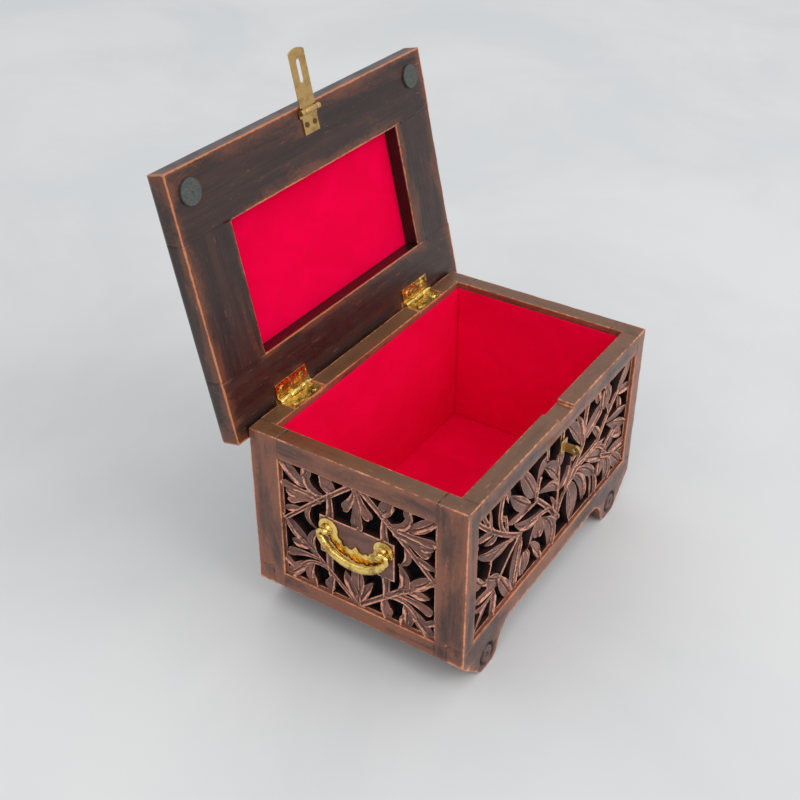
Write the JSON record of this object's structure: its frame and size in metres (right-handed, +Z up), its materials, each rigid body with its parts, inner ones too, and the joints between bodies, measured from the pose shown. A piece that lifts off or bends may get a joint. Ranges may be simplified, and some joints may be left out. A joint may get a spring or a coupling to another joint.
{
  "type": "jewelry box",
  "caption": "Wooden jewelry box with openwork carved panels, velvet lining, hinged lid, hasp and staple, and a swinging bail handle on each end.",
  "frame": {"origin": "centre of the bounding box of the box with its lid open, on the ground under the four feet; the body's own centre is 22.31 mm towards the front of it", "axes": "+Z up, -Y out of the front with the staple, +X to the viewer's right when facing the front"},
  "size_m": [0.274, 0.2305, 0.3545],
  "materials": {
    "wood": "satin",
    "carved_wood": "satin",
    "black_board": "matte",
    "velvet": "matte",
    "brass": "polished",
    "satin_brass": "satin",
    "rubber": "matte"
  },
  "bodies": {
    "box": {"back_backing": "black_board", "back_bottom_rail": "wood", "back_carved_panel": "carved_wood", "back_top_rail": "wood", "bottom_board": "wood", "box_hinge_leaf_left": "brass", "box_hinge_leaf_right": "brass", "box_hinge_screws": "brass", "corner_post_back_left": "wood", "corner_post_back_right": "wood", "corner_post_front_left": "wood", "corner_post_front_right": "wood", "front_backing": "black_board", "front_bottom_rail": "wood", "front_carved_panel": "carved_wood", "front_top_rail": "wood", "hinge_pins": "brass", "left_backing": "black_board", "left_bottom_rail": "wood", "left_carved_panel": "carved_wood", "left_handle_plate": "brass", "left_handle_posts": "brass", "left_top_rail": "wood", "right_backing": "black_board", "right_bottom_rail": "wood", "right_carved_panel": "carved_wood", "right_handle_plate": "brass", "right_handle_posts": "brass", "right_top_rail": "wood", "staple": "satin_brass", "velvet_back": "velvet", "velvet_floor": "velvet", "velvet_front": "velvet", "velvet_left": "velvet", "velvet_right": "velvet"},
    "lid": {"lid_back_rail": "wood", "lid_bumper_left": "rubber", "lid_bumper_right": "rubber", "lid_card": "black_board", "lid_carved_panel": "carved_wood", "lid_front_rail": "wood", "lid_hinge_leaf_left": "brass", "lid_hinge_leaf_right": "brass", "lid_hinge_screws": "brass", "lid_left_stile": "wood", "lid_right_stile": "wood", "lid_velvet": "velvet", "hasp_plate": "satin_brass", "hasp_rivets": "satin_brass", "hasp_pin": "satin_brass"},
    "hasp_strap": {"hasp_strap": "satin_brass"},
    "left_bail": {"left_bail": "brass"},
    "right_bail": {"right_bail": "brass"}
  },
  "joints": [
    {"name": "lid_hinge", "type": "hinge", "parent": "box", "child": "lid", "pos_m": [0, 0.05989, 0.151], "axis": [1, 0, 0], "range_deg": [0, 102.5]},
    {"name": "hasp_hinge", "type": "hinge", "parent": "lid", "child": "hasp_strap", "pos_m": [0, 0.09614, 0.31566], "axis": [1, 0, 0], "range_deg": [0, 90]},
    {"name": "left_bail_hinge", "type": "hinge", "parent": "box", "child": "left_bail", "pos_m": [-0.1306, -0.02231, 0.095], "axis": [0, 1, 0], "range_deg": [0, 170]},
    {"name": "right_bail_hinge", "type": "hinge", "parent": "box", "child": "right_bail", "pos_m": [0.1306, -0.02231, 0.095], "axis": [0, -1, 0], "range_deg": [0, 170]}
  ]
}
